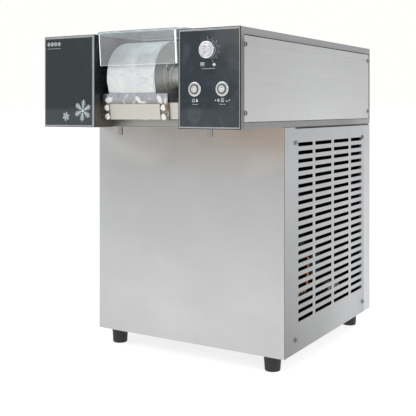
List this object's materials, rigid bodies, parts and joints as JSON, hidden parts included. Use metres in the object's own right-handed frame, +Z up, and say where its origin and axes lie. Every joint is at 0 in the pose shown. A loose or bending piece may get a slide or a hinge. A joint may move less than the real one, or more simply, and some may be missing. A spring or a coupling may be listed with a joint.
{
  "type": "shaved ice machine",
  "caption": "Countertop shaved-ice maker: a chilled rotating drum between two glass-fronted pods is shaved by a fixed blade, above a vented stainless cabinet.",
  "frame": {"origin": "on the floor plane, under the middle of the machine's whole box", "axes": "+Z up, -Y out of the control front, +X to the right as seen from the front"},
  "size_m": [0.3844, 0.56, 0.572],
  "materials": {
    "stainless": "brushed stainless sheet, satin",
    "blade_steel": "ground and polished tool steel",
    "bar_steel": "fine brushed stainless flat bar",
    "machined_steel": "turned steel, bright",
    "drum_steel": "frosted stainless drum",
    "screw_steel": "plated screw",
    "black_sheet": "black powder coat",
    "zinc_sheet": "zinc-plated sheet",
    "black_glass": "back-printed toughened glass, gloss",
    "clear_acrylic": "clear cast acrylic",
    "chrome_trim": "bright chrome",
    "lens_white": "milky lens",
    "black_rubber": "moulded rubber",
    "grey_rubber": "moulded silicone",
    "black_plastic": "moulded, fine texture",
    "white_plastic": "food-grade moulded plastic",
    "board_green": "lacquered circuit board",
    "compressor_black": "black enamel",
    "motor_grey": "grey enamel",
    "fin_aluminium": "rolled fin stock",
    "cast_alu": "die-cast aluminium",
    "copper": "drawn copper tube"
  },
  "bodies": {
    "frame": {"base_pan": "zinc_sheet", "bearing_housings": "cast_alu", "blade_clamp": "bar_steel", "blade_screws": "screw_steel", "blade_support_bar": "bar_steel", "button_switches": "chrome_trim", "cable_gland": "black_plastic", "capacitor_bracket": "zinc_sheet", "chamber_liner": "black_sheet", "chute_lip": "stainless", "compressor": "compressor_black", "compressor_grommets": "black_rubber", "condenser_fins": "fin_aluminium", "condenser_tubes": "copper", "control_board": "board_green", "copper_lines": "copper", "corner_posts": "zinc_sheet", "drain_spouts": "machined_steel", "drive_motor": "motor_grey", "drum_trough": "stainless", "fan_motor": "motor_grey", "fan_shroud": "black_sheet", "fascia_carriers": "black_plastic", "feed_valve": "white_plastic", "front_panel": "stainless", "gearbox": "cast_alu", "gearbox_bracket": "zinc_sheet", "head_casing": "stainless", "head_rear_cover": "stainless", "head_side_covers": "stainless", "indicator_lamp": "lens_white", "left_glass": "black_glass", "left_side_grille": "stainless", "panel_screws": "screw_steel", "pod_bezels": "stainless", "potentiometer": "black_plastic", "rear_panel": "stainless", "right_glass": "black_glass", "right_side_grille": "stainless", "rotary_union": "machined_steel", "rubber_feet": "black_rubber", "run_capacitor": "fin_aluminium", "shaft_bearings": "machined_steel", "shaft_seals": "grey_rubber", "shaving_blade": "blade_steel", "terminal_cover": "black_plastic", "top_deck": "black_sheet"},
    "drum": {"drum_shell": "drum_steel", "drum_end_disc": "machined_steel", "drum_hubs": "machined_steel", "drum_shaft": "machined_steel", "drum_gear": "machined_steel"},
    "pinion": {"drive_pinion": "machined_steel"},
    "fan": {"fan_blade": "black_plastic"},
    "dial": {"dial_knob": "chrome_trim"},
    "left_button": {"left_button_cap": "lens_white"},
    "right_button": {"right_button_cap": "lens_white"},
    "cover": {"clear_cover": "clear_acrylic"},
    "tank": {"milk_tank": "white_plastic"},
    "lid": {"tank_lid": "white_plastic"}
  },
  "joints": [
    {"name": "drum_spin", "type": "hinge", "parent": "frame", "child": "drum", "pos_m": [-0.02, -0.196, 0.4835], "axis": [1, 0, 0], "continuous": true},
    {"name": "pinion_spin", "type": "hinge", "parent": "frame", "child": "pinion", "pos_m": [-0.11, -0.132, 0.4835], "axis": [1, 0, 0], "continuous": true},
    {"name": "fan_spin", "type": "hinge", "parent": "frame", "child": "fan", "pos_m": [-0.116, 0.077, 0.187], "axis": [1, 0, 0], "continuous": true},
    {"name": "dial_turn", "type": "hinge", "parent": "frame", "child": "dial", "pos_m": [0.1357, -0.274, 0.5205], "axis": [0, 1, 0], "range_deg": [-135, 135]},
    {"name": "left_button_press", "type": "slide", "parent": "frame", "child": "left_button", "axis": [0, 1, 0], "range_m": [0, 0.003], "stiffness_N_per_m": 300, "springref_m": -0.002},
    {"name": "right_button_press", "type": "slide", "parent": "frame", "child": "right_button", "axis": [0, 1, 0], "range_m": [0, 0.003], "stiffness_N_per_m": 300, "springref_m": -0.002},
    {"name": "cover_lift", "type": "slide", "parent": "frame", "child": "cover", "axis": [0, 0, 1], "range_m": [0, 0.09]},
    {"name": "tank_lift", "type": "slide", "parent": "frame", "child": "tank", "axis": [0, 0, 1], "range_m": [0, 0.12]},
    {"name": "lid_lift", "type": "slide", "parent": "tank", "child": "lid", "axis": [0, 0, 1], "range_m": [0, 0.06]}
  ],
  "couplings": [
    {"joint": "pinion_spin", "follows": "drum_spin", "ratio": -3}
  ]
}
